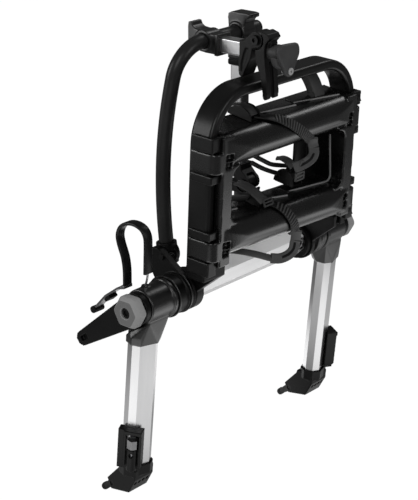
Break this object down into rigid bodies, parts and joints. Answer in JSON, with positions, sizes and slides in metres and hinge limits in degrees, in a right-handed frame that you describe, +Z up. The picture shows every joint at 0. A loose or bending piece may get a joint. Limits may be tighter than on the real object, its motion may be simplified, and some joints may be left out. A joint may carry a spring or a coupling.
{
  "type": "trunk mounted bike rack",
  "caption": "Trunk mounted bike rack with a folding wheel platform, bowed mast, clamping arms, hubs with hooks and cables, and aluminium legs.",
  "frame": {"origin": "middle of the hub axis, on which the legs and the platform turn", "axes": "+X across the car, +Y towards the tailgate, +Z up"},
  "size_m": [0.6756, 0.3279, 0.9247],
  "materials": {
    "aluminium": "satin anodised",
    "black_tube": "satin powder coat",
    "black_casting": "satin",
    "black_plastic": "satin moulded",
    "grey_plastic": "matte",
    "steel": "zinc plated",
    "nylon": "matte",
    "black_rubber": "matte"
  },
  "bodies": {
    "frame": {"crossbar": "aluminium", "hinge_bushings": "nylon", "mast_clamp": "black_casting", "mast": "black_tube", "mast_plug": "black_plastic", "clamp_screws": "steel", "right_collar": "black_casting", "hub_spindles": "steel"},
    "left_leg": {"left_hub": "black_casting", "left_leg_tube": "aluminium", "left_foot_shoe": "black_plastic", "left_foot_clamp": "black_plastic", "left_tailgate_hook": "steel", "left_hook_ends": "black_rubber", "left_cable_sleeve": "black_rubber", "left_hook_cable": "steel"},
    "left_nut": {"left_hand_nut": "grey_plastic"},
    "left_lever": {"left_hook_lever": "black_casting"},
    "left_screw": {"left_foot_screw": "steel"},
    "left_lowhook": {"left_lower_hook": "steel", "left_hook_tip": "black_rubber"},
    "right_leg": {"right_hub": "black_casting", "right_leg_tube": "aluminium", "right_foot_shoe": "black_plastic", "right_foot_clamp": "black_plastic", "right_tailgate_hook": "steel", "right_hook_ends": "black_rubber", "right_cable_sleeve": "black_rubber", "right_hook_cable": "steel"},
    "right_nut": {"right_hand_nut": "grey_plastic"},
    "right_lever": {"right_hook_lever": "black_casting"},
    "right_screw": {"right_foot_screw": "steel"},
    "right_lowhook": {"right_lower_hook": "steel", "right_hook_tip": "black_rubber"},
    "platform": {"platform_tube": "black_tube", "wheel_tray": "black_plastic", "side_clips": "black_plastic", "hinge_brackets": "black_casting", "upper_strap": "black_rubber", "lower_strap": "black_rubber", "strap_bases": "black_plastic"},
    "upper_lever": {"upper_buckle": "grey_plastic"},
    "lower_lever": {"lower_buckle": "grey_plastic"},
    "short_arm": {"short_arm_bracket": "black_casting", "short_arm_tube": "aluminium", "short_claw_body": "black_casting", "short_pivot_bolt": "steel"},
    "short_jaw": {"short_front_jaw": "black_casting"},
    "short_wing": {"short_knob": "grey_plastic"},
    "short_key": {"short_lock": "steel"},
    "long_arm": {"long_arm_bracket": "black_casting", "long_arm_tube": "aluminium", "long_claw_body": "black_casting", "long_pivot_bolt": "steel"},
    "long_jaw": {"long_front_jaw": "black_casting"},
    "long_wing": {"long_knob": "grey_plastic"},
    "long_key": {"long_lock": "steel"}
  },
  "joints": [
    {"name": "left_leg_swing", "type": "hinge", "parent": "frame", "child": "left_leg", "pos_m": [-0.283, 0, 0], "axis": [1, 0, 0], "range_deg": [-15, 35]},
    {"name": "left_nut_turn", "type": "hinge", "parent": "frame", "child": "left_nut", "pos_m": [-0.318, 0, 0], "axis": [1, 0, 0], "continuous": true},
    {"name": "left_lever_swing", "type": "hinge", "parent": "left_leg", "child": "left_lever", "pos_m": [-0.305, 0, 0], "axis": [1, 0, 0], "range_deg": [0, 60]},
    {"name": "left_screw_turn", "type": "hinge", "parent": "left_leg", "child": "left_screw", "pos_m": [-0.31549, 0.00897, -0.28638], "axis": [0, -0.0915, 0.9958], "continuous": true},
    {"name": "left_hook_pivot", "type": "hinge", "parent": "left_leg", "child": "left_lowhook", "pos_m": [-0.2804, 0.07588, -0.38869], "axis": [1, 0, 0], "range_deg": [-20, 15]},
    {"name": "right_leg_swing", "type": "hinge", "parent": "frame", "child": "right_leg", "pos_m": [0.283, 0, 0], "axis": [1, 0, 0], "range_deg": [-15, 35]},
    {"name": "right_nut_turn", "type": "hinge", "parent": "frame", "child": "right_nut", "pos_m": [0.318, 0, 0], "axis": [1, 0, 0], "continuous": true},
    {"name": "right_lever_swing", "type": "hinge", "parent": "right_leg", "child": "right_lever", "pos_m": [0.305, 0, 0], "axis": [1, 0, 0], "range_deg": [0, 60]},
    {"name": "right_screw_turn", "type": "hinge", "parent": "right_leg", "child": "right_screw", "pos_m": [0.31549, 0.00897, -0.28638], "axis": [0, -0.0915, 0.9958], "continuous": true},
    {"name": "right_hook_pivot", "type": "hinge", "parent": "right_leg", "child": "right_lowhook", "pos_m": [0.2804, 0.07588, -0.38869], "axis": [1, 0, 0], "range_deg": [-20, 15]},
    {"name": "platform_fold", "type": "hinge", "parent": "frame", "child": "platform", "pos_m": [0, 0, 0], "axis": [1, 0, 0], "range_deg": [0, 87.3]},
    {"name": "upper_buckle", "type": "hinge", "parent": "platform", "child": "upper_lever", "pos_m": [0.05, -0.11517, 0.25492], "axis": [1, 0, 0], "range_deg": [-50, 0]},
    {"name": "lower_buckle", "type": "hinge", "parent": "platform", "child": "lower_lever", "pos_m": [0.016, -0.10692, 0.07849], "axis": [1, 0, 0], "range_deg": [-50, 0]},
    {"name": "short_arm_lift", "type": "hinge", "parent": "frame", "child": "short_arm", "pos_m": [-0.083, 0.01769, 0.45809], "axis": [1, 0, 0], "range_deg": [-100, 0]},
    {"name": "long_arm_swing", "type": "hinge", "parent": "frame", "child": "long_arm", "pos_m": [0.011, 0.01769, 0.45809], "axis": [1, 0, 0], "range_deg": [0, 260]},
    {"name": "short_jaw_open", "type": "hinge", "parent": "short_arm", "child": "short_jaw", "pos_m": [-0.083, -0.10531, 0.47809], "axis": [1, 0, 0], "range_deg": [-35, 0]},
    {"name": "long_jaw_open", "type": "hinge", "parent": "long_arm", "child": "long_jaw", "pos_m": [0.011, -0.00231, 0.16609], "axis": [1, 0, 0], "range_deg": [-15, 0]},
    {"name": "short_wing_turn", "type": "hinge", "parent": "short_jaw", "child": "short_wing", "pos_m": [-0.083, -0.15031, 0.45809], "axis": [0, -1, 0], "continuous": true},
    {"name": "long_wing_turn", "type": "hinge", "parent": "long_jaw", "child": "long_wing", "pos_m": [0.011, 0.01769, 0.12109], "axis": [0, 0, -1], "continuous": true},
    {"name": "short_key_turn", "type": "hinge", "parent": "short_wing", "child": "short_key", "pos_m": [-0.08786, -0.16531, 0.43052], "axis": [0, -1, 0], "range_deg": [0, 90]},
    {"name": "long_key_turn", "type": "hinge", "parent": "long_wing", "child": "long_key", "pos_m": [0.00614, 0.04527, 0.10609], "axis": [0, 0, -1], "range_deg": [0, 90]}
  ]
}
